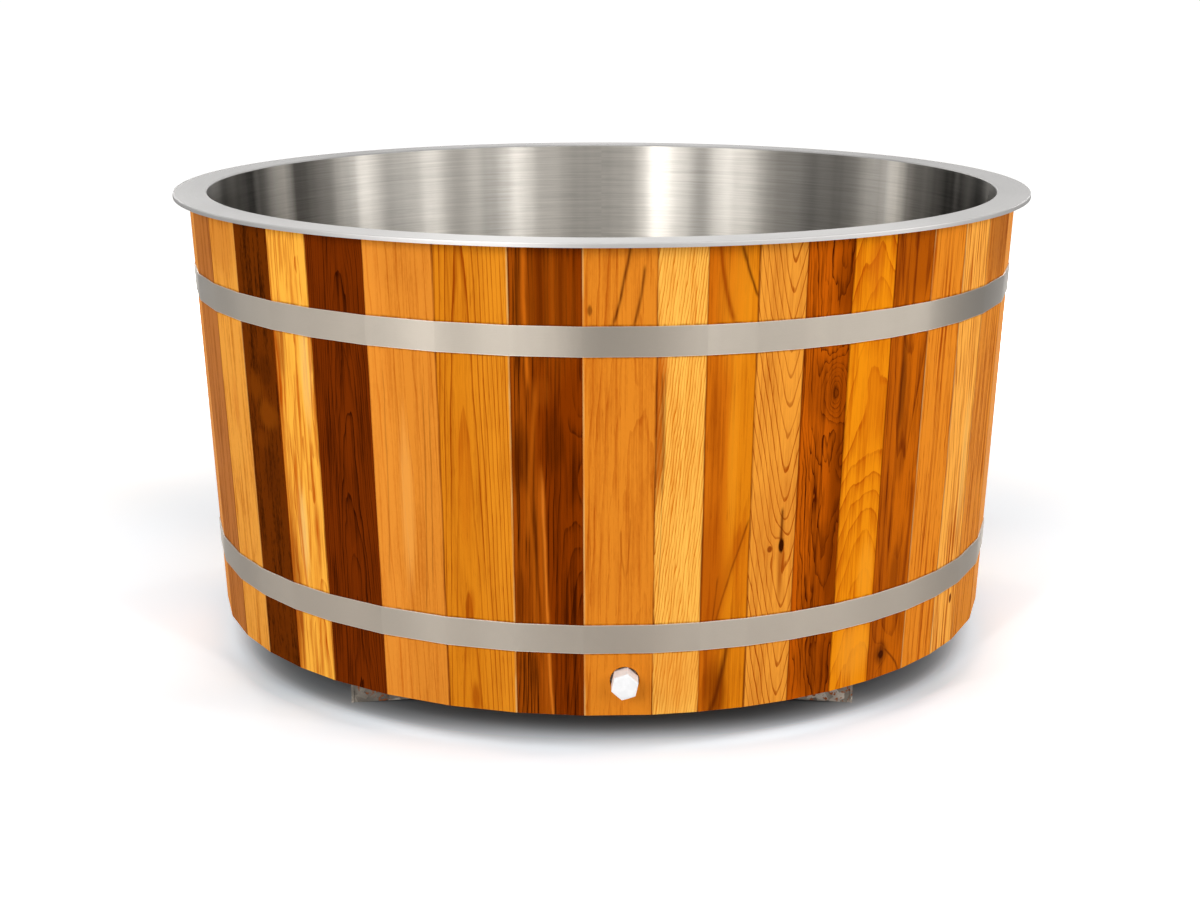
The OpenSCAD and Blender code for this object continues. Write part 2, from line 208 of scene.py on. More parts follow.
def floor_material():
    """A pale floor, whose colour goes past white where the camera sees it, with a painted contact
    shadow under the tub and painted light and shade at its edge and beside the tub. A reflection
    sees it plain and nearly white.
    """
    m, n, shader = new_material("floor_white", "ShaderNodeBsdfDiffuse")
    path = n.add("ShaderNodeLightPath")
    place = n.add("ShaderNodeTexCoord").outputs["Object"]
    x, y, _ = n.separate(place)
    away = n.hypot(x, y)
    aside = n.math("ABSOLUTE", n.math("DIVIDE", x, away))
    near = n.range(aside, 0.80, 0.98, FLOOR_SEEN, FLOOR_SEEN_ASIDE)
    seen = n.range(away, 1.2, 3.6, near, FLOOR_SEEN_FAR)
    # painted contact shadow and painted light and shade at its edge, leaning out at the slants
    aside = n.math("MULTIPLY", aside, aside)
    cross = n.math("MULTIPLY", aside, n.math("SUBTRACT", 1.0, aside))
    inner = n.math("MULTIPLY_ADD", cross, SHADOW_LEAN, away)
    inner = n.math("MULTIPLY_ADD", n.math("MULTIPLY", cross, aside), SHADOW_LEAN_ASIDE, inner)
    seen = n.math("MULTIPLY", seen,
                  n.range(inner, SHADOW_FULL, SHADOW_END, SHADOW_LIGHT, 1.0))
    stops = [((r - EDGE_START) / (EDGE_END - EDGE_START), (value,) * 3)
             for r, value in EDGE_SHADE]
    shade = n.separate(n.ramp(n.range(away, EDGE_START, EDGE_END), stops))[0]
    weight = n.range(cross, 0.0, 0.19, 0.15, 1.0)
    seen = n.math("MULTIPLY", seen,
                  n.math("MULTIPLY_ADD", n.math("SUBTRACT", shade, 1.0), weight, 1.0))
    seen = n.combine(*[n.math("MULTIPLY", seen, n.range(away, 1.1, 1.6, share, 1.0))
                       for share in FLOOR_COOL])
    grit = n.noise(place, 40.0, 3.0)
    plain = n.mix(grit, (0.72, 0.72, 0.71, 1), (0.74, 0.74, 0.73, 1))
    plain = n.mix(path.outputs["Is Glossy Ray"], plain, (*[FLOOR_GLOSS] * 3, 1))
    n.put(shader.inputs["Color"], n.mix(path.outputs["Is Camera Ray"], plain, seen))
    return m


bm = bmesh.new()
bmesh.ops.create_grid(bm, x_segments=1, y_segments=1, size=FLOOR_HALF)
floor_mesh = bpy.data.meshes.new("floor")
bm.to_mesh(floor_mesh)
bm.free()
floor = bpy.data.objects.new("floor", floor_mesh)
scene.collection.objects.link(floor)
floor_mesh.materials.append(floor_material())

WORLD_LIGHT, WORLD_TINT = 0.315, (1.0, 0.99, 0.975, 1)
world = bpy.data.worlds.new("pale_room")
scene.world = world
world.use_nodes = True
wn = Nodes(world.node_tree)
wn.tree.nodes.clear()
path = wn.add("ShaderNodeLightPath")
seen = wn.math("MAXIMUM", path.outputs["Is Camera Ray"],
               wn.math("MAXIMUM", path.outputs["Is Glossy Ray"],
                       path.outputs["Is Transmission Ray"]))
lit = wn.add("ShaderNodeBackground")
lit.inputs["Color"].default_value = WORLD_TINT
lit.inputs["Strength"].default_value = WORLD_LIGHT
white = wn.add("ShaderNodeBackground")
white.inputs["Color"].default_value = (1, 1, 1, 1)
white.inputs["Strength"].default_value = 1.0
both = wn.add("ShaderNodeMixShader")
wn.put(both.inputs[0], seen)
wn.tree.links.new(lit.outputs[0], both.inputs[1])
wn.tree.links.new(white.outputs[0], both.inputs[2])
world_out = wn.add("ShaderNodeOutputWorld")
wn.tree.links.new(both.outputs[0], world_out.inputs["Surface"])


def area_lamp(name, place, target, size, power):
    """A soft lamp that faces a point and stays out of the picture."""
    data = bpy.data.lights.new(name, "AREA")
    data.shape = "RECTANGLE"
    data.size, data.size_y = size
    data.energy = power
    obj = bpy.data.objects.new(name, data)
    scene.collection.objects.link(obj)
    obj.location = place
    obj.rotation_euler = (Vector(target) - Vector(place)).to_track_quat("-Z", "Y").to_euler()
    obj.visible_camera = False


area_lamp("lamp_top", place=(0, -0.6, 4.5), target=(0, 0, 0), size=(4.0, 3.0), power=50)

# Upright strip lamps round the tub, each with its bearing from the front, width and power
STRIPS = [(-21, 0.26, 42), (-29, 0.50, 18), (-44, 0.34, 32), (-53, 0.50, 16), (-108, 0.40, 16),
          (-150, 0.40, 16), (31, 0.34, 34), (42, 0.50, 10), (62, 0.35, 24), (73, 0.60, 14),
          (90, 0.45, 28), (145, 0.40, 16), (180, 1.40, 11)]
STRIP_R, STRIP_Z, STRIP_H = 4.6, 2.1, 1.8
STRIP_TARGET = (0, 0, 0.6)
for i, (bearing, width, power) in enumerate(STRIPS):
    turn = math.radians(bearing)
    at = (STRIP_R * math.sin(turn), -STRIP_R * math.cos(turn), STRIP_Z)
    area_lamp(f"strip_{i + 1}", at, STRIP_TARGET, (width, STRIP_H), power)


# Where each stave lies round the jacket

def stave_angles():
    """The middle and half span of each stave, in radians round from the front to the right."""
    mid_r = (WOOD_TOP_R + WOOD_BOTTOM_R) / 2 * 1000
    spans = [2 * math.degrees(math.asin(w / 2 / mid_r)) for w in FRONT_WIDTHS]
    back_n = STAVE_COUNT - len(spans)
    weights = [BACK_SHARES[i % len(BACK_SHARES)] for i in range(back_n)]
    turn = (360 - sum(spans)) / sum(weights)
    spans += [w * turn for w in weights]
    out, at = [], FIRST_JOINT
    for span in spans:
        out.append((math.radians(at + span / 2), math.radians(span / 2)))
        at += span
    return out


STAVES = stave_angles()
SLOPE = (WOOD_TOP_R - WOOD_BOTTOM_R) / (WOOD_TOP_Z - WOOD_BOTTOM_Z)


# Wood

WOOD_DEFAULTS = {
    "light": (236, 160, 70),
    "dark": (190, 98, 20),
    "side": 0.00,
    "depth": 0.060,
    "pitch": 0.0070,
    "start": 0.0,
    "cone": 0.05,
    "edge": 0.5,
    "waves": 0.006,
    "wave_u": 22.0,
    "wave_z": 4.0,
    "ripples": 0.18,
    "fibres": 0.60,
    "threads": 1.40,
    "streaks": 0.55,
    "figure": 0.45,
    "flecks": 0.35,
    "contrast": 0.85,
    "seed": 0.0,
    "off": 0.0,
    "mottle": 0.0,
    "fine": 1.0,
    "shine": 0.012,
    "arrises": (0.0, 0.0),
    "shade": (),
    "patches": (),
    "lines": (),
    "knots": (),
    "eyes": (),
}


def stave_frame(angle, half):
    """Across, up and outward directions on a stave's face, and the face's distance."""
    out = Vector((math.sin(angle), -math.cos(angle), 0))
    length = math.sqrt(1 + SLOPE ** 2)
    up = (out * SLOPE + Vector((0, 0, 1))) / length
    face = (out - Vector((0, 0, SLOPE))) / length
    on_face = out * (WOOD_TOP_R * math.cos(half)) + Vector((0, 0, WOOD_TOP_Z))
    return Vector((math.cos(angle), math.sin(angle), 0)), up, face, on_face.dot(face), out


# Screen tones of the joints, the arrises' painted highlight and the painted shade, partly dirt,
# along the bands, and the gloss's tint
JOINT_TONE, ARRIS_HIGHLIGHT_TONE, BAND_SHADE_AND_DIRT_TONE = (116, 42, 2), (255, 206, 128), (84, 32, 3)
WOOD_GLINT = (1.0, 0.72, 0.45, 1)


def wood_material(name, axes, half, **given):
    """Sawn timber: tapering growth rings round a pith, cut by the board's own faces.

    axes are the board's across, up and face directions, its face's distance and its outward
    direction, and half is its half span, 0 for a board without joints, arris highlights or band
    shade. side and depth place the pith beside and behind the face, pitch is the ring spacing,
    start shifts the rings, cone is how fast they widen up the board, and edge where in its year a
    ring starts to darken. waves, wave_u and wave_z say how far and how often rings wander, and
    ripples how much they tremble. contrast is the depth of their tone, and fibres, threads,
    streaks and figure that of ever broader marks, mottle of short curly ones and flecks of dark
    ones. off is how far the figure lies off the board's middle, fine how close the fibres lie,
    and arrises how pale the painted highlight on the left and right arris is. The rest lists
    features, with u across and v up:
    shade has where a second tone starts, its softness, lean, light and dark tone, and amount,
    below 0 for the left side. patches have u, v, half width, half height, tint and amount.
    lines have the top u and v, the low u and v, bow, half width, tint and amount. knots have u,
    v, half width, half height and tint. eyes have the first four and how far rings close there.
    """
    w = {**WOOD_DEFAULTS, **given}
    m, n, shader = new_material(name)
    place = n.add("ShaderNodeTexCoord").outputs["Object"]
    across, up, face, face_at, out = axes
    middle_u = n.vmath("DOT_PRODUCT", place, tuple(across))
    u = n.math("ADD", middle_u, w["off"])
    v = n.vmath("DOT_PRODUCT", place, tuple(up))
    deep = n.math("SUBTRACT", face_at, n.vmath("DOT_PRODUCT", place, tuple(face)))

    def grain(across_scale, along_scale, shift, detail, rough):
        """Noise drawn out along the board, from 0 to 1."""
        at = n.combine(n.math("MULTIPLY", u, across_scale), n.math("MULTIPLY", deep, across_scale),
                       n.math("MULTIPLY_ADD", v, along_scale, w["seed"] + shift))
        return n.noise(at, 1.0, detail, rough)

    def from_middle(mid_u, mid_v, half_u, half_v):
        """How far a place lies from an oval's middle, 1 on the oval."""
        return n.hypot(n.math("DIVIDE", n.math("SUBTRACT", u, mid_u), half_u),
                       n.math("DIVIDE", n.math("SUBTRACT", v, mid_v), half_v))

    # slow wander of the rings, then their distance from the pith
    wander = n.math("SUBTRACT", grain(w["wave_u"], w["wave_z"], 0.0, 2.5, 0.5), 0.5)
    ripple = n.math("SUBTRACT", grain(90.0, 14.0, 3.0, 2.0, 0.5), 0.5)
    du = n.math("SUBTRACT", u, w["side"])
    dw = n.math("ADD", deep, w["depth"])
    r = n.math("MULTIPLY_ADD", v, w["cone"], n.hypot(du, dw))
    r = n.math("MULTIPLY_ADD", wander, w["waves"], r)
    r = n.math("MULTIPLY_ADD", ripple, w["waves"] * w["ripples"], r)
    for *oval, amount in w["eyes"]:
        r = n.math("MULTIPLY_ADD", n.bell(from_middle(*oval)), amount, r)
    years = n.math("ADD", n.math("DIVIDE", r, w["pitch"]), 50.0 + w["start"])
    phase = n.math("FRACT", years)
    # a ring darkens slowly through its year and ends on a sharp line
    late = n.ramp(phase, [(0.0, (0.04,) * 3), (w["edge"], (0.15,) * 3), (0.83, (0.62,) * 3),
                          (0.90, (1.0,) * 3), (0.965, (1.0,) * 3), (1.0, (0.04,) * 3)])
    late = n.separate(late)[0]
    year = n.noise(n.math("ADD", n.math("FLOOR", years), w["seed"] * 7.0 + 0.37), 3.7, 0.0,
                   dims="1D")
    late = n.math("MULTIPLY", late, n.range(year, 0.25, 0.75, 0.45, 1.0))

    fibre = grain(900.0 * w["fine"], 16.0, 0.0, 3.0, 0.6)
    thread = grain(330.0 * w["fine"], 5.0, 5.0, 2.5, 0.6)
    streak = grain(110.0, 1.6, 9.0, 3.0, 0.55)
    figure = grain(34.0, 5.5, 13.0, 3.0, 0.6)
    tone = n.math("MULTIPLY", late, w["contrast"])
    for noise, amount in ((fibre, w["fibres"]), (thread, w["threads"]), (streak, w["streaks"] * 2),
                          (figure, w["figure"] * 2)):
        tone = n.sway(tone, noise, amount)
    if w["mottle"]:
        curl = grain(260.0, 75.0, 21.0, 2.0, 0.6)
        tone = n.sway(tone, curl, w["mottle"])
    fleck = n.range(grain(420.0, 24.0, 17.0, 1.5, 0.5), 0.60, 0.74, 0.0, w["flecks"])
    tone = n.math("ADD", tone, fleck)
    tone = n.math("ADD", tone, 0.04, clamp=True)
    colour = n.mix(tone, srgb(*w["light"]), srgb(*w["dark"]))

    for at, soft, lean, tint, amount in w["shade"]:
        edge = n.math("MULTIPLY_ADD", wander, 0.014, n.math("MULTIPLY_ADD", v, lean, u))
        edge = n.sway(edge, thread, 0.006)
        ends = (at - soft, at + soft) if amount > 0 else (at + soft, at - soft)
        mask = n.math("MULTIPLY", n.range(edge, *ends), abs(amount))
        colour = n.mix(mask, colour, n.mix(tone, srgb(*tint[0]), srgb(*tint[1])))

    for *oval, tint, amount in w["patches"]:
        d = n.sway(from_middle(*oval), thread, 1.1)
        d = n.math("MULTIPLY_ADD", wander, 0.8, d)
        mask = n.math("MULTIPLY", n.range(d, 1.35, 0.45, 0.0, amount),
                      n.range(tone, 0.0, 0.5, 0.75, 1.0))
        colour = n.mix(mask, colour, srgb(*tint))

    for top_u, top_v, low_u, low_v, bow, width, tint, amount in w["lines"]:
        t = n.math("DIVIDE", n.math("SUBTRACT", v, low_v), top_v - low_v)
        belly = n.math("MULTIPLY", n.math("MULTIPLY", t, n.math("SUBTRACT", 1.0, t)), 4.0 * bow)
        middle = n.math("ADD", n.math("MULTIPLY_ADD", t, top_u - low_u, low_u), belly)
        off = n.math("SUBTRACT", n.math("MULTIPLY_ADD", ripple, 0.004, u), middle)
        off = n.math("DIVIDE", n.math("MULTIPLY_ADD", wander, 0.012, off), width)
        ends = n.math("MULTIPLY", n.range(t, -0.02, 0.12), n.range(t, 1.02, 0.88))
        mask = n.math("MULTIPLY", n.math("MULTIPLY", n.bell(off), ends),
                      n.range(thread, 0.15, 0.6, 0.6 * amount, amount))
        colour = n.mix(mask, colour, srgb(*tint))

    for *oval, dark in w["knots"]:
        d = n.math("MULTIPLY_ADD", ripple, 0.9, from_middle(*oval))
        mask = n.range(d, 1.35, 0.75)
        ringlets = n.range(n.math("SINE", n.math("MULTIPLY", d, 16.0)), -1.0, 1.0, 0.75, 1.15)
        core = n.mix(1.0, srgb(*dark), ringlets, "MULTIPLY")
        colour = n.mix(mask, colour, core)

    # the arrises get a painted highlight for the light that oiled arrises catch, the wood by the
    # bands painted shade, partly dirt, and the pores take a little dirt
    if half:
        reach = n.math("MULTIPLY", n.vmath("DOT_PRODUCT", place, tuple(out)), math.tan(half))
        inset = n.math("SUBTRACT", reach, n.math("ABSOLUTE", middle_u))
        patchiness = n.range(grain(60.0, 9.0, 25.0, 2.0, 0.6), 0.35, 0.65, 0.25, 1.0)
        joint = n.math("MULTIPLY", n.range(inset, 0.0034, 0.0008, 0.0, 0.80), patchiness)
        colour = n.mix(joint, colour, srgb(*JOINT_TONE))
        # painted highlight: paler lines along the left and right arrises
        left, right = w["arrises"]
        pale = n.range(middle_u, -0.001, 0.001, left, right)
        pale = n.math("MULTIPLY", n.range(inset, 0.0036, 0.0026, 0.0, 1.0), pale)
        colour = n.mix(n.math("MULTIPLY", pale, patchiness), colour, srgb(*ARRIS_HIGHLIGHT_TONE))
        z = n.separate(place)[2]
        # painted shade, partly dirt: darker wood just above and below each band
        for low in (UPPER_BAND_Z, LOWER_BAND_Z):
            off = n.math("ABSOLUTE", n.math("SUBTRACT", z, low + BAND_W / 2))
            off = n.math("SUBTRACT", off, BAND_W / 2)
            band_shade_and_dirt = n.math("MULTIPLY", n.range(off, 0.0045, 0.0008, 0.0, 0.60), patchiness)
            colour = n.mix(band_shade_and_dirt, colour, srgb(*BAND_SHADE_AND_DIRT_TONE))
    pore_at = n.combine(n.math("MULTIPLY", u, 1500.0), n.math("MULTIPLY", deep, 1500.0),
                        n.math("MULTIPLY_ADD", v, 70.0, w["seed"]))
    pores = n.range(n.noise(pore_at, 1.0, 1.0), 0.70, 0.82, 0.0, 0.35)
    colour = n.mix(pores, colour, srgb(*[c * 0.72 for c in w["dark"]]))

    n.put(shader.inputs["Base Color"], colour)
    shader.inputs["Specular IOR Level"].default_value = w["shine"]
    shader.inputs["Specular Tint"].default_value = WOOD_GLINT
    n.put(shader.inputs["Roughness"], n.range(tone, 0.0, 1.0, 0.44, 0.56))
    height = n.math("MULTIPLY_ADD", late, -0.5, n.math("MULTIPLY", fibre, 0.9))
    n.put(shader.inputs["Normal"], n.bump(height, 0.35, 0.00035))
    return m


pale = {"light": (252, 188, 86), "dark": (206, 112, 20)}
gold = {"light": (238, 150, 36), "dark": (188, 90, 6)}
orange = {"light": (238, 156, 58), "dark": (190, 94, 8)}
amber = {"light": (230, 136, 20), "dark": (156, 68, 2)}
tan_wood = {"light": (190, 118, 52), "dark": (150, 80, 24)}
brown = {"light": (186, 88, 6), "dark": (96, 34, 0), "shine": 0.004}
walnut = {"light": (122, 50, 2), "dark": (70, 22, 0), "shine": 0.002}
SEAM = (96, 36, 2)
STAIN = (150, 62, 2)
WARM = (200, 100, 14)

# Each front board as the photograph shows it, left to right, with its features in metres
FRONT = [
    dict(tan_wood, light=(185, 109, 36), dark=(140, 73, 17), side=0.30, depth=0.05, pitch=0.010,
         cone=0.02, contrast=0.25, figure=1.2, streaks=1.6, threads=2.4, mottle=0.8, fine=0.45),
    dict(orange, light=(234, 158, 59), dark=(188, 105, 23), side=-0.22, depth=0.05, pitch=0.014,
         cone=0.03, contrast=0.25, figure=1.5, streaks=1.0, threads=1.6, mottle=0.9, fine=0.5,
         arrises=(0.0, 0.2),
         patches=[(0.004, 0.56, 0.012, 0.05, WARM, 0.4), (-0.014, 0.24, 0.010, 0.06, WARM, 0.3),
                  (0.0, 0.86, 0.070, 0.070, (196, 112, 32), 0.65)]),
    dict(walnut, light=(105, 45, 2), dark=(52, 18, 0), side=0.20, depth=0.08, pitch=0.012,
         cone=0.04, contrast=0.35, streaks=0.9, figure=1.8, mottle=2.2, fine=0.6,
         patches=[(-0.020, 0.605, 0.024, 0.030, (138, 66, 6), 0.50),
                  (0.016, 0.560, 0.034, 0.026, (146, 72, 8), 0.60),
                  (-0.010, 0.510, 0.030, 0.018, (130, 60, 5), 0.40),
                  (0.020, 0.640, 0.024, 0.030, (56, 18, 0), 0.50),
                  (0.014, 0.450, 0.030, 0.050, (60, 20, 0), 0.35)]),
    dict(pale, light=(251, 179, 65), dark=(186, 83, 4), side=0.030, depth=0.03, pitch=0.011,
         cone=0.016, waves=0.060, wave_u=13.0, wave_z=3.4, ripples=0.06, contrast=0.75, edge=0.3,
         streaks=1.5, figure=1.0, flecks=0.12, fibres=0.4, fine=0.6,
         shade=[(-0.030, 0.010, 0.02, ((214, 124, 28), (150, 62, 4)), -0.85)],
         patches=[(-0.036, 0.24, 0.014, 0.13, STAIN, 0.8), (-0.030, 0.70, 0.012, 0.07, STAIN, 0.6),
                  (0.030, 0.66, 0.014, 0.10, (255, 208, 122), 0.5),
                  (-0.006, 0.36, 0.012, 0.09, (255, 214, 130), 0.5),
                  (0.020, 0.26, 0.012, 0.10, (214, 118, 24), 0.5)],
         lines=[(0.004, 0.66, -0.006, 0.42, 0.005, 0.0030, WARM, 0.7),
                (0.016, 0.60, 0.008, 0.30, 0.004, 0.0024, WARM, 0.7),
                (-0.014, 0.52, -0.004, 0.22, -0.004, 0.0028, WARM, 0.8)]),
    dict(brown, light=(113, 43, 2), dark=(50, 12, 0), side=0.006, depth=0.040, pitch=0.0036,
         cone=0.030, contrast=1.0, edge=0.5, waves=0.012, wave_u=26.0, wave_z=6.0, ripples=0.15,
         streaks=0.8, figure=0.8, flecks=0.15, threads=1.8, fibres=0.9),
    dict(orange, light=(219, 135, 44), dark=(171, 81, 7), side=-0.085, depth=0.030,
         pitch=0.016, cone=0.026, edge=0.85, waves=0.018, wave_z=2.5, contrast=0.45, streaks=0.5,
         threads=1.0, mottle=0.5, flecks=0.1,
         shade=[(-0.006, 0.016, 0.03, ((234, 148, 54), (212, 116, 28)), -0.5)],
         patches=[(0.0, 0.84, 0.050, 0.030, STAIN, 0.1),
                  (-0.004, 0.46, 0.012, 0.16, (246, 172, 82), 0.6)],
         lines=[(0.034, 0.68, 0.022, 0.24, 0.004, 0.0012, SEAM, 0.45),
                (0.046, 0.66, 0.038, 0.30, 0.002, 0.0012, SEAM, 0.45),
                (-0.040, 0.70, -0.046, 0.30, 0.003, 0.0012, SEAM, 0.35)]),
    dict(gold, light=(212, 127, 22), dark=(150, 63, 2), side=-0.020, depth=0.035, pitch=0.0060,
         start=0.133, cone=0.0195, edge=0.70, contrast=1.0, waves=0.005, streaks=0.5,
         ripples=0.1, threads=1.0, figure=0.5, arrises=(0.0, 0.50),
         shade=[(0.018, 0.030, 0.02, ((232, 148, 36), (166, 76, 4)), 0.5)],
         patches=[(-0.022, 0.50, 0.013, 0.13, (188, 94, 9), 0.5),
                  (-0.016, 0.285, 0.006, 0.03, (176, 84, 6), 0.7),
                  (-0.014, 0.115, 0.008, 0.03, (160, 70, 3), 0.9)]),
    dict(walnut, light=(153, 70, 6), dark=(57, 16, 0), side=0.060, depth=0.030, pitch=0.0060,
         cone=0.022, waves=0.026, wave_u=15.0, wave_z=2.6, ripples=0.05, contrast=0.85, edge=0.5,
         streaks=1.5, threads=2.0, figure=0.9, flecks=0.1,
         eyes=[(0.085, 0.500, 0.055, 0.130, 0.030)],
         shade=[(0.004, 0.018, 0.05, ((122, 46, 0), (64, 18, 0)), 0.9)],
         patches=[(-0.046, 0.55, 0.020, 0.06, (78, 26, 0), 0.7),
                  (0.010, 0.575, 0.018, 0.05, (76, 26, 0), 0.7),
                  (-0.048, 0.30, 0.014, 0.05, (96, 34, 0), 0.5),
                  (-0.014, 0.66, 0.020, 0.03, (150, 70, 8), 0.5),
                  (0.0, 0.80, 0.060, 0.120, (186, 92, 12), 0.28)],
         lines=[(-0.036, 0.95, -0.030, 0.66, -0.002, 0.0040, (206, 106, 18), 0.8),
                (-0.014, 0.96, -0.008, 0.70, 0.002, 0.0070, (84, 28, 0), 0.7),
                (0.006, 0.96, 0.010, 0.72, 0.001, 0.0030, (170, 84, 12), 0.4),
                (0.024, 0.96, 0.026, 0.70, -0.002, 0.0040, (96, 34, 0), 0.6),
                (0.044, 0.96, 0.046, 0.74, 0.001, 0.0030, (104, 40, 0), 0.5),
                (-0.016, 0.68, -0.036, 0.40, -0.003, 0.0040, (178, 88, 12), 0.6),
                (-0.012, 0.54, 0.008, 0.00, -0.003, 0.0026, (226, 126, 34), 0.8),
                (-0.018, 0.54, -0.001, 0.00, -0.003, 0.0060, (190, 94, 14), 0.6),
                (-0.034, 0.50, -0.024, 0.20, 0.002, 0.0036, (182, 90, 12), 0.6),
                (-0.026, 0.46, -0.016, 0.18, 0.002, 0.0022, (84, 28, 0), 0.6)]),
    dict(orange, light=(219, 131, 35), dark=(170, 76, 6), side=0.030, depth=0.045, pitch=0.0110,
         cone=0.030, edge=0.55, waves=0.026, wave_u=20.0, wave_z=4.4, contrast=0.50, streaks=0.7,
         threads=1.2, figure=0.6, mottle=0.4, arrises=(0.45, 0.0),
         patches=[(-0.050, 0.795, 0.004, 0.008, SEAM, 0.8)],
         lines=[(0.016, 0.92, -0.014, 0.765, 0.003, 0.0026, SEAM, 0.95),
                (0.038, 0.87, 0.018, 0.765, 0.002, 0.0026, SEAM, 0.8),
                (0.000, 0.43, 0.008, 0.34, -0.002, 0.0016, STAIN, 0.5),
                (0.017, 0.45, 0.010, 0.34, 0.002, 0.0016, STAIN, 0.5)]),
    dict(pale, light=(252, 188, 82), dark=(209, 115, 18), side=-0.16, depth=0.05, pitch=0.0046,
         cone=-0.11, contrast=1.2, waves=0.007, wave_z=6.0, ripples=0.9, figure=0.3,
         patches=[(-0.038, 0.62, 0.008, 0.14, (176, 82, 8), 0.9),
                  (-0.034, 0.70, 0.010, 0.06, (196, 98, 14), 0.7),
                  (0.0, 0.17, 0.045, 0.07, (222, 130, 34), 0.5)],
         lines=[(-0.030, 0.52, -0.033, 0.30, 0.001, 0.0010, SEAM, 0.5),
                (-0.034, 0.70, -0.032, 0.48, 0.001, 0.0018, SEAM, 0.6),
                (-0.029, 0.70, -0.029, 0.52, 0.000, 0.0012, SEAM, 0.5)]),
    dict(amber, light=(218, 127, 16), dark=(159, 70, 3), side=0.06, depth=0.05, pitch=0.030,
         cone=0.06, waves=0.03, contrast=0.4, streaks=1.1, threads=1.6, figure=0.8,
         shade=[(-0.016, 0.018, -0.03, ((200, 102, 12), (142, 58, 2)), -0.90)],
         patches=[(-0.030, 0.34, 0.024, 0.12, (160, 68, 2), 0.6),
                  (-0.028, 0.60, 0.010, 0.08, (140, 56, 2), 0.45),
                  (0.006, 0.56, 0.010, 0.14, (240, 152, 30), 0.6),
                  (0.026, 0.36, 0.016, 0.10, (206, 108, 10), 0.6),
                  (-0.016, 0.13, 0.022, 0.07, (116, 46, 0), 0.75),
                  (0.004, 0.80, 0.030, 0.120, (246, 156, 30), 0.45)],
         lines=[(0.040, 0.440, -0.022, 0.235, -0.003, 0.0020, SEAM, 0.9),
                (0.030, 0.430, -0.030, 0.220, -0.003, 0.0120, (176, 84, 6), 0.6),
                (0.006, 0.220, -0.024, 0.080, 0.004, 0.0040, SEAM, 0.9),
                (-0.014, 0.340, -0.030, 0.220, 0.002, 0.0014, SEAM, 0.6),
                (-0.032, 0.920, 0.000, 0.765, -0.002, 0.0040, STAIN, 0.9),
                (0.010, 0.900, 0.043, 0.805, -0.004, 0.0028, SEAM, 0.9)]),
    dict(orange, light=(235, 153, 52), dark=(162, 70, 3), side=0.018, depth=0.008,
         pitch=0.0100, start=0.50, cone=-0.200, edge=0.80, waves=0.012, wave_u=24.0, wave_z=7.0,
         contrast=0.95, streaks=0.35, threads=0.9, figure=0.5,
         patches=[(0.0140, 0.345, 0.006, 0.06, STAIN, 0.8),
                  (0.0, 0.43, 0.050, 0.080, (190, 100, 24), 0.30)],
         lines=[(0.012, 0.450, 0.014, 0.370, 0.0, 0.0024, SEAM, 0.9)],
         knots=[(0.0140, 0.382, 0.0050, 0.012, (54, 18, 0)),
                (-0.0070, 0.377, 0.0045, 0.0050, (150, 70, 12))],
         eyes=[(0.0140, 0.382, 0.012, 0.040, 0.014), (-0.0070, 0.377, 0.009, 0.018, 0.008)]),
    dict(brown, light=(194, 90, 6), dark=(77, 21, 0), side=0.016, depth=0.060, pitch=0.0048,
         cone=-0.045, waves=0.018, wave_u=24.0, wave_z=9.0, contrast=1.0, ripples=0.35,
         edge=0.5, streaks=1.0, threads=1.6, figure=0.7, flecks=0.2,
         shade=[(0.012, 0.022, 0.0, ((156, 66, 0), (74, 22, 0)), 0.7)],
         patches=[(0.000, 0.650, 0.040, 0.055, (124, 50, 1), 0.55),
                  (0.018, 0.638, 0.007, 0.016, (70, 22, 0), 0.7),
                  (0.030, 0.480, 0.016, 0.120, (92, 32, 0), 0.7),
                  (0.012, 0.330, 0.020, 0.080, (110, 42, 0), 0.6),
                  (0.030, 0.300, 0.014, 0.120, (78, 24, 0), 0.6),
                  (0.024, 0.820, 0.020, 0.050, (110, 42, 0), 0.6),
                  (0.0, 0.150, 0.050, 0.060, (88, 30, 0), 0.5)],
         eyes=[(0.018, 0.638, 0.022, 0.048, 0.034), (0.034, 0.520, 0.014, 0.030, 0.010)]),
    dict(gold, light=(237, 142, 14), dark=(182, 79, 1), side=0.010, depth=0.060, pitch=0.0140,
         cone=0.22, edge=0.25, waves=0.040, wave_u=13.0, wave_z=4.0, ripples=0.10, contrast=0.70,
         streaks=0.8, figure=0.9, flecks=0.2,
         eyes=[(0.008, 0.530, 0.060, 0.090, 0.018)],
         patches=[(0.008, 0.60, 0.024, 0.10, (224, 126, 12), 0.6),
                  (-0.006, 0.84, 0.016, 0.050, WARM, 0.6),
                  (0.016, 0.30, 0.016, 0.06, (250, 166, 44), 0.5),
                  (0.0, 0.160, 0.040, 0.060, (250, 164, 44), 0.6)]),
    dict(amber, light=(198, 99, 5), dark=(113, 40, 0), side=-0.004, depth=0.035, pitch=0.020,
         cone=-0.11, waves=0.020, wave_z=3.0, contrast=0.6, streaks=1.3, threads=1.6, figure=0.9,
         shade=[(-0.020, 0.016, 0.02, ((176, 82, 4), (104, 36, 0)), -0.6)],
         patches=[(-0.018, 0.630, 0.008, 0.080, (90, 32, 0), 0.9),
                  (-0.010, 0.500, 0.012, 0.040, (120, 46, 0), 0.5),
                  (-0.004, 0.280, 0.012, 0.050, (112, 44, 0), 0.7),
                  (-0.024, 0.140, 0.018, 0.022, (90, 34, 0), 0.8),
                  (0.0, 0.85, 0.060, 0.070, (126, 48, 0), 0.5),
                  (0.0, 0.25, 0.060, 0.100, (126, 48, 0), 0.25)],
         lines=[(0.040, 0.900, 0.044, 0.050, -0.002, 0.0030, SEAM, 0.8),
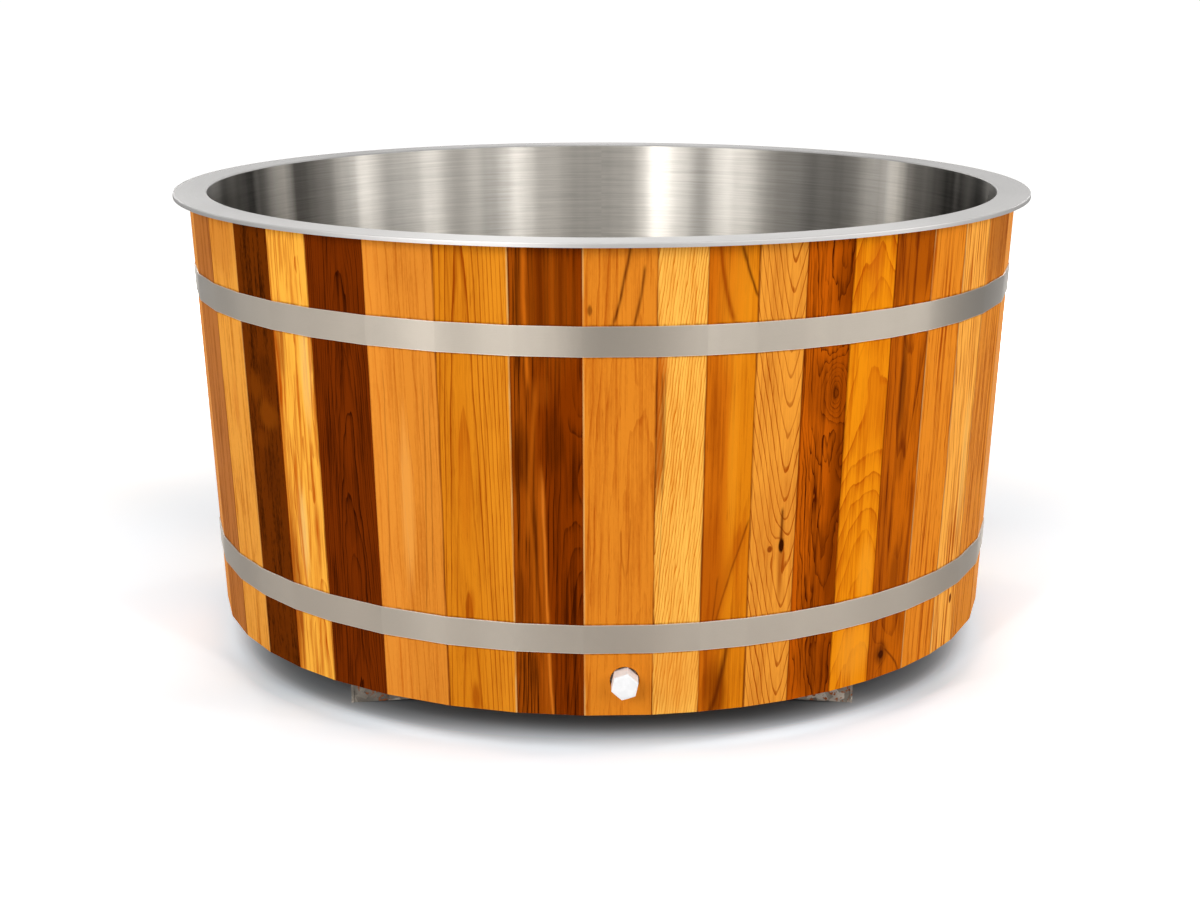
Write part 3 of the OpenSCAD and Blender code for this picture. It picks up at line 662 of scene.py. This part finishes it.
                (0.030, 0.460, 0.022, 0.250, 0.002, 0.0040, (128, 50, 0), 0.8),
                (-0.018, 0.150, 0.028, 0.090, 0.008, 0.0026, SEAM, 0.8)],
         knots=[(-0.0240, 0.138, 0.0070, 0.007, (66, 22, 0))],
         eyes=[(-0.0240, 0.140, 0.022, 0.026, 0.026)]),
    dict(orange, light=(230, 137, 34), dark=(164, 69, 2), side=0.10, depth=0.05, pitch=0.010,
         cone=0.03, contrast=0.5, streaks=1.5, figure=0.8, threads=3.0, flecks=0.7, fine=0.5,
         arrises=(0.35, 0.0),
         lines=[(0.046, 0.60, 0.046, 0.26, 0.0, 0.0024, STAIN, 0.8),
                (-0.010, 0.66, -0.014, 0.30, 0.001, 0.0016, STAIN, 0.5)]),
    dict(pale, light=(251, 174, 71), dark=(179, 85, 10), side=-0.08, depth=0.06, pitch=0.008,
         cone=0.05, contrast=0.8, figure=1.0, streaks=1.8, threads=3.0, fine=0.45,
         arrises=(0.45, 0.0),
         patches=[(0.010, 0.44, 0.012, 0.14, (252, 196, 104), 0.5)],
         knots=[(0.006, 0.185, 0.0045, 0.008, (120, 54, 8))]),
    dict(tan_wood, light=(221, 136, 35), dark=(169, 81, 6), side=0.12, depth=0.05,
         pitch=0.008, cone=0.03, contrast=0.5, figure=1.4, streaks=2.0, threads=3.0, mottle=1.0,
         fine=0.35, arrises=(0.25, 0.0),
         patches=[(0.0, 0.86, 0.080, 0.100, (132, 58, 10), 0.65)]),
]
# How far each front board's figure lies off the board's middle, in millimetres
FIGURE_OFF = [4.0, 5.5, 2.5, 1.5, -0.5, -1.5, -1.0, -2.0, -2.5, -2.0, -2.0, -3.0, -4.0, -7.0,
              -10.5, -12.0, -17.0, -16.5]
BACK_TONES = [orange, gold, brown, pale, orange, walnut, amber]

for i, (angle, half) in enumerate(STAVES):
    if i < len(FRONT):
        look = dict(FRONT[i], off=FIGURE_OFF[i] / 1000)
    else:
        k = i - len(FRONT)
        look = dict(BACK_TONES[k % len(BACK_TONES)])
        look.update(side=0.09 * math.sin(2.3 * k), depth=0.045 + 0.02 * math.sin(1.7 * k),
                    pitch=0.0075 + 0.002 * math.sin(3.1 * k), cone=0.05 + 0.05 * math.sin(0.9 * k),
                    waves=0.010 + 0.006 * math.sin(5.0 * k), contrast=0.75)
    look["seed"] = 1.0 + 2.17 * i
    label = f"stave_{i + 1:02d}"
    dress(wood_material("wood_" + label, stave_frame(angle, half), half, **look), label)


# Steel

def steel_material(name, base, rough, aniso, flutes=0.0, edge_highlights=(), coarse=0.0, round_off=0.0,
                   painted_reflections=(), graze=1.0):
    """Brushed steel, with its marks round the tub's axis.

    rough holds the least and greatest roughness, and aniso how far the highlight spreads across
    the marks. flutes is how deep the sheet's slow upright ripples are, in metres; the ripples also
    sway the tone as painted upright streaks of reflection. edges are the heights of painted
    highlights along the bands' top and bottom corners, coarse is the depth of tone of the broader
    marks, and round_off how far a band's flats blend into each other. polish lists painted bright
    streaks and dark gaps of reflected light, each with its bearing from the front in degrees and
    its share of brightness, and graze is the glancing tint.
    """
    m, n, shader = new_material(name)
    place = n.add("ShaderNodeTexCoord").outputs["Object"]
    x, y, z = n.separate(place)
    turn = n.math("ARCTAN2", x, n.math("MULTIPLY", y, -1.0))
    radius = n.hypot(x, y)

    def marks_round(along, across):
        """Noise drawn out round the axis, from 0 to 1."""
        at = n.combine(n.math("MULTIPLY", turn, along), n.math("MULTIPLY", z, across),
                       n.math("MULTIPLY", radius, across))
        return n.noise(at, 1.0, 3.0, 0.6)

    marks = marks_round(6.0, 1400.0)
    cloud = n.noise(place, 7.0, 3.0, 0.55)
    grain = n.noise(place, 900.0, 2.0, 0.6)
    tone = n.sway(1.0, marks, 0.16)
    tone = n.sway(tone, cloud, 0.10)
    tone = n.sway(tone, grain, 0.10)
    height = n.math("MULTIPLY", marks, 0.00012)
    if coarse:
        tone = n.sway(tone, marks_round(4.0, 260.0), coarse)
    # painted reflections: the tone is brightened and darkened by bearing round the tub
    if painted_reflections:
        share = n.math("MULTIPLY_ADD", turn, 1 / (2 * math.pi), 0.5)
        stops = [(0.5 + bearing / 360, (value,) * 3) for bearing, value in painted_reflections]
        tone = n.math("MULTIPLY", tone, n.separate(n.ramp(share, stops, "EASE"))[0])
    if flutes:
        flute_at = n.combine(n.math("MULTIPLY", n.math("SINE", turn), 9.0),
                             n.math("MULTIPLY", n.math("COSINE", turn), 9.0),
                             n.math("MULTIPLY", z, 0.25))
        flute = n.noise(flute_at, 1.0, 2.0, 0.5)
        # the ripples also sway the tone, as painted upright streaks of reflection
        tone = n.sway(tone, flute, 0.9)
        height = n.math("MULTIPLY_ADD", flute, flutes, height)
    # painted highlights: the tone is raised in thin lines at the bands' top and bottom corners
    for at in edge_highlights:
        near = n.range(n.math("ABSOLUTE", n.math("SUBTRACT", z, at)), 0.0013, 0.0004, 0.0, 0.45)
        tone = n.math("ADD", tone, near)
    colour = n.mix(1.0, (*base, 1), n.combine(tone, tone, tone), "MULTIPLY")
    n.put(shader.inputs["Base Color"], colour)
    shader.inputs["Metallic"].default_value = 1.0
    shader.inputs["Specular Tint"].default_value = (graze, graze, graze, 1)
    low, high = rough
    n.put(shader.inputs["Roughness"], n.range(marks, 0.3, 0.7, low, high))
    normal = None
    if round_off:
        normal = n.add("ShaderNodeNewGeometry").outputs["Normal"]
        radial = n.combine(n.math("DIVIDE", x, radius), n.math("DIVIDE", y, radius), 0.0)
        share = n.range(n.vmath("DOT_PRODUCT", normal, radial), 0.90, 0.97, 0.0, round_off)
        normal = n.vmath("NORMALIZE", n.mix(share, normal, radial))
    n.put(shader.inputs["Normal"], n.bump(height, 0.6, 1.0, normal))
    # the highlight spreads across the marks, which run round the tub
    shader.inputs["Anisotropic"].default_value = aniso
    shader.inputs["Anisotropic Rotation"].default_value = 0.25
    tangent = n.add("ShaderNodeTangent", direction_type="RADIAL", axis="Z")
    n.tree.links.new(tangent.outputs[0], shader.inputs["Tangent"])
    return m


# Painted reflections: bright streaks and dark gaps of reflected light by bearing, fitted to
# the photo and rounded; a ramp takes 32 stops at most
UPPER_PAINTED_REFLECTIONS = [(-180, 1.00), (-62, 0.95), (-54, 0.80), (-40, 1.50), (-33, 1.55), (-25, 1.05),
                (-15, 1.00), (-10, 0.85), (-5, 1.20), (0, 0.95), (10, 1.20), (15, 0.85),
                (25, 1.25), (30, 0.95), (37, 1.10), (47, 0.85), (60, 0.65), (75, 0.95),
                (180, 1.00)]
LOWER_PAINTED_REFLECTIONS = [(-180, 1.00), (-68, 1.00), (-56, 0.90), (-42, 1.30), (-35, 1.40), (-25, 0.95),
                (-15, 0.90), (-10, 0.80), (-1, 1.20), (8, 1.25), (15, 0.95), (24, 1.20),
                (31, 1.00), (43, 0.90), (52, 1.00), (66, 0.95), (80, 1.15), (100, 0.95),
                (180, 1.00)]
WALL_PAINTED_REFLECTIONS = [(-180, 1.10), (-168, 1.35), (-160, 0.85), (-156, 1.15), (-143, 1.10), (-136, 1.20),
               (-133, 0.90), (-130, 1.40), (-127, 0.90), (-120, 0.35), (-117, 1.25),
               (-109, 0.20), (-97, 0.30), (-88, 1.00), (88, 1.00), (97, 0.20), (107, 0.20),
               (114, 0.30), (119, 0.60), (122, 1.40), (126, 0.60), (129, 1.00), (136, 0.45),
               (144, 0.85), (148, 0.75), (153, 1.15), (161, 0.85), (165, 1.05), (176, 1.30),
               (180, 1.10)]
RIM_PAINTED_REFLECTIONS = [(-180, 0.80), (-168, 0.75), (-132, 0.75), (-120, 0.90), (-84, 0.80), (-60, 0.85),
              (-30, 1.10), (-12, 1.30), (0, 1.00), (12, 1.00), (34, 1.15), (50, 0.95),
              (84, 0.85), (108, 0.90), (128, 0.80), (168, 0.75), (180, 0.80)]
BAND_EDGES = [UPPER_BAND_Z, UPPER_BAND_Z + BAND_W, LOWER_BAND_Z, LOWER_BAND_Z + BAND_W]

dress(steel_material("steel_wall", (0.432, 0.408, 0.372), (0.31, 0.37), 1.0, flutes=0.0004,
                     coarse=0.60, painted_reflections=WALL_PAINTED_REFLECTIONS, graze=0.5), "liner_wall")
dress(steel_material("steel_rim", (0.43, 0.42, 0.41), (0.48, 0.58), 0.3, painted_reflections=RIM_PAINTED_REFLECTIONS),
      "rim_flange")
dress(steel_material("steel_bottom", (0.48, 0.47, 0.45), (0.36, 0.46), 0.3), "liner_floor")
for band, rough, painted_reflections in (("upper", (0.44, 0.50), UPPER_PAINTED_REFLECTIONS),
                            ("lower", (0.52, 0.58), LOWER_PAINTED_REFLECTIONS)):
    dress(steel_material("steel_band_" + band, (0.405, 0.362, 0.308), rough, 0.95,
                         edge_highlights=BAND_EDGES, round_off=0.85, painted_reflections=painted_reflections), band + "_band")
dress(steel_material("steel_small", (0.45, 0.43, 0.41), (0.30, 0.40), 0.2),
      "band_fasteners", "drain_strainer", "drain_flange")


def zinc_material():
    """Dull galvanised plate, with spangle, grey weathering, a few rust specks and painted shade,
    darker towards the middle under the tub and lighter outward.
    """
    m, n, shader = new_material("zinc_plate")
    place = n.add("ShaderNodeTexCoord").outputs["Object"]
    cells = n.add("ShaderNodeTexVoronoi", feature="F1")
    n.put(cells.inputs["Vector"], place)
    cells.inputs["Scale"].default_value = 55.0
    spangle = n.separate(cells.outputs["Color"])[0]
    cloud = n.noise(place, 14.0, 5.0, 0.6)
    tone = n.math("MULTIPLY_ADD", spangle, 0.25, n.math("MULTIPLY", cloud, 0.75))
    # painted shade: darker towards the middle under the tub, lighter outward
    outward = n.math("ABSOLUTE", n.separate(place)[0])
    tone = n.math("ADD", tone, n.range(outward, 0.34, 0.50, -0.04, 0.05))
    colour = n.ramp(tone, [(0.30, (0.055, 0.048, 0.040)), (0.48, (0.25, 0.225, 0.19)),
                           (0.66, (0.66, 0.60, 0.52))])
    rust_at = n.noise(place, 150.0, 3.0, 0.6)
    patch = n.noise(place, 22.0, 2.0, 0.5)
    rust = n.math("MULTIPLY", n.range(rust_at, 0.54, 0.62), n.range(patch, 0.42, 0.56))
    colour = n.mix(rust, colour, (0.30, 0.085, 0.02, 1))
    n.put(shader.inputs["Base Color"], colour)
    shader.inputs["Metallic"].default_value = 0.55
    n.put(shader.inputs["Roughness"], n.range(cloud, 0.3, 0.7, 0.5, 0.68))
    n.put(shader.inputs["Normal"], n.bump(n.math("ADD", cloud, rust), 0.4, 0.0004))
    return m


dress(zinc_material(), "front_bearer", "rear_bearer", "joists")


def moulded_material(name, tint, rough, spec, relief):
    """Moulded plastic, rubber or foam, with a faint mottle and a fine skin."""
    m, n, shader = new_material(name)
    place = n.add("ShaderNodeTexCoord").outputs["Object"]
    cloud = n.noise(place, 60.0, 3.0, 0.5)
    skin = n.noise(place, 900.0, 2.0, 0.6)
    darker = tuple(c * 0.93 for c in tint)
    n.put(shader.inputs["Base Color"], n.mix(n.range(cloud, 0.35, 0.65), (*darker, 1), (*tint, 1)))
    shader.inputs["Specular IOR Level"].default_value = spec
    n.put(shader.inputs["Roughness"], n.range(cloud, 0.3, 0.7, rough, rough + 0.08))
    n.put(shader.inputs["Normal"], n.bump(skin, 0.3, relief))
    return m


dress(moulded_material("white_plastic", (0.905, 0.925, 0.945), 0.42, 0.2, 0.00006),
      "drain_locknut", "drain_elbow", "drain_pipe", "drain_adapter", "drain_cap")
dress(moulded_material("black_rubber", (0.025, 0.025, 0.026), 0.62, 0.3, 0.0001),
      "drain_gasket", "drain_cap_washer")
dress(moulded_material("grey_foam", (0.055, 0.06, 0.066), 0.85, 0.1, 0.0006), "insulation")

# The floor's boards run along x, and their figure is cut by their lower faces
boards_frame = (Vector((0, 1, 0)), Vector((1, 0, 0)), Vector((0, 0, -1)), -BOARDS_LOW_Z, None)
dress(wood_material("wood_boards", boards_frame, 0, seed=5.0, waves=0.02,
                    light=(120, 92, 66), dark=(84, 62, 44)), "floor_boards")

scene.view_settings.view_transform = "Standard"
